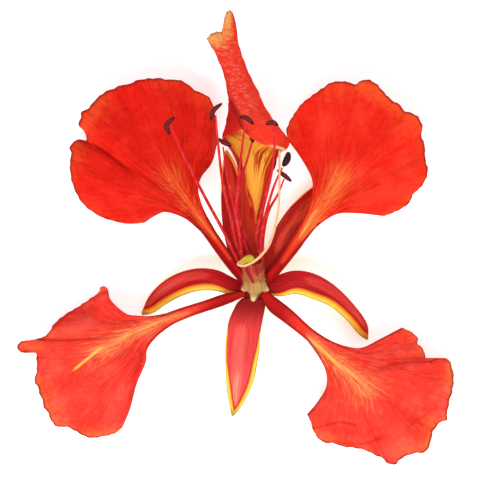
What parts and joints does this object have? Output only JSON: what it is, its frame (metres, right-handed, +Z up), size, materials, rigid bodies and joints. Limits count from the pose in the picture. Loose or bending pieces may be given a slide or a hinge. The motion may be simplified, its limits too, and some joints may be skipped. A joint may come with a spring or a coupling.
{
  "type": "flame tree flower",
  "caption": "Single cut flower of a flame tree, face up: clawed petals, rolled standard petal, bent-back sepals, curving stamens and pistil.",
  "frame": {"origin": "centre of the slanting cut through the stalk stub, in the plane that the flower rests on", "axes": "+Z up out of the flower's face, +Y up the flower towards its standard petal, +X to the right as seen from above"},
  "size_m": [0.1096, 0.1136, 0.0278],
  "materials": {
    "calyx_green": "dull, finely felted plant skin",
    "stamen_base_cream": "pale woolly plant skin",
    "sepal_red": "leathery, satin, red inside with a yellow-green margin",
    "petal_scarlet": "thin soft petal, satin, with fine veins",
    "petal_standard": "thin soft petal, red outside and yellow with red streaks inside",
    "filament_crimson": "smooth, moist plant thread",
    "anther_maroon": "matt, finely grained",
    "ovary_green": "finely downy",
    "style_salmon": "smooth plant thread"
  },
  "bodies": {
    "root": {"calyx_cup": "calyx_green", "stamen_base": "stamen_base_cream", "stamen_collar": "filament_crimson", "sepal_bottom": "sepal_red", "sepal_lower_left": "sepal_red", "sepal_lower_right": "sepal_red", "sepal_upper_left": "sepal_red", "sepal_upper_right": "sepal_red", "petal_upper_left": "petal_scarlet", "petal_upper_right": "petal_scarlet", "petal_lower_left": "petal_scarlet", "petal_lower_right": "petal_scarlet", "petal_standard": "petal_standard", "filament_01": "filament_crimson", "anther_01": "anther_maroon", "filament_02": "filament_crimson", "anther_02": "anther_maroon", "filament_03": "filament_crimson", "anther_03": "anther_maroon", "filament_04": "filament_crimson", "anther_04": "anther_maroon", "filament_05": "filament_crimson", "anther_05": "anther_maroon", "filament_06": "filament_crimson", "anther_06": "anther_maroon", "filament_07": "filament_crimson", "anther_07": "anther_maroon", "filament_08": "filament_crimson", "anther_08": "anther_maroon", "filament_09": "filament_crimson", "anther_09": "anther_maroon", "filament_10": "filament_crimson", "anther_10": "anther_maroon", "ovary": "ovary_green", "style": "style_salmon"}
  },
  "joints": []
}
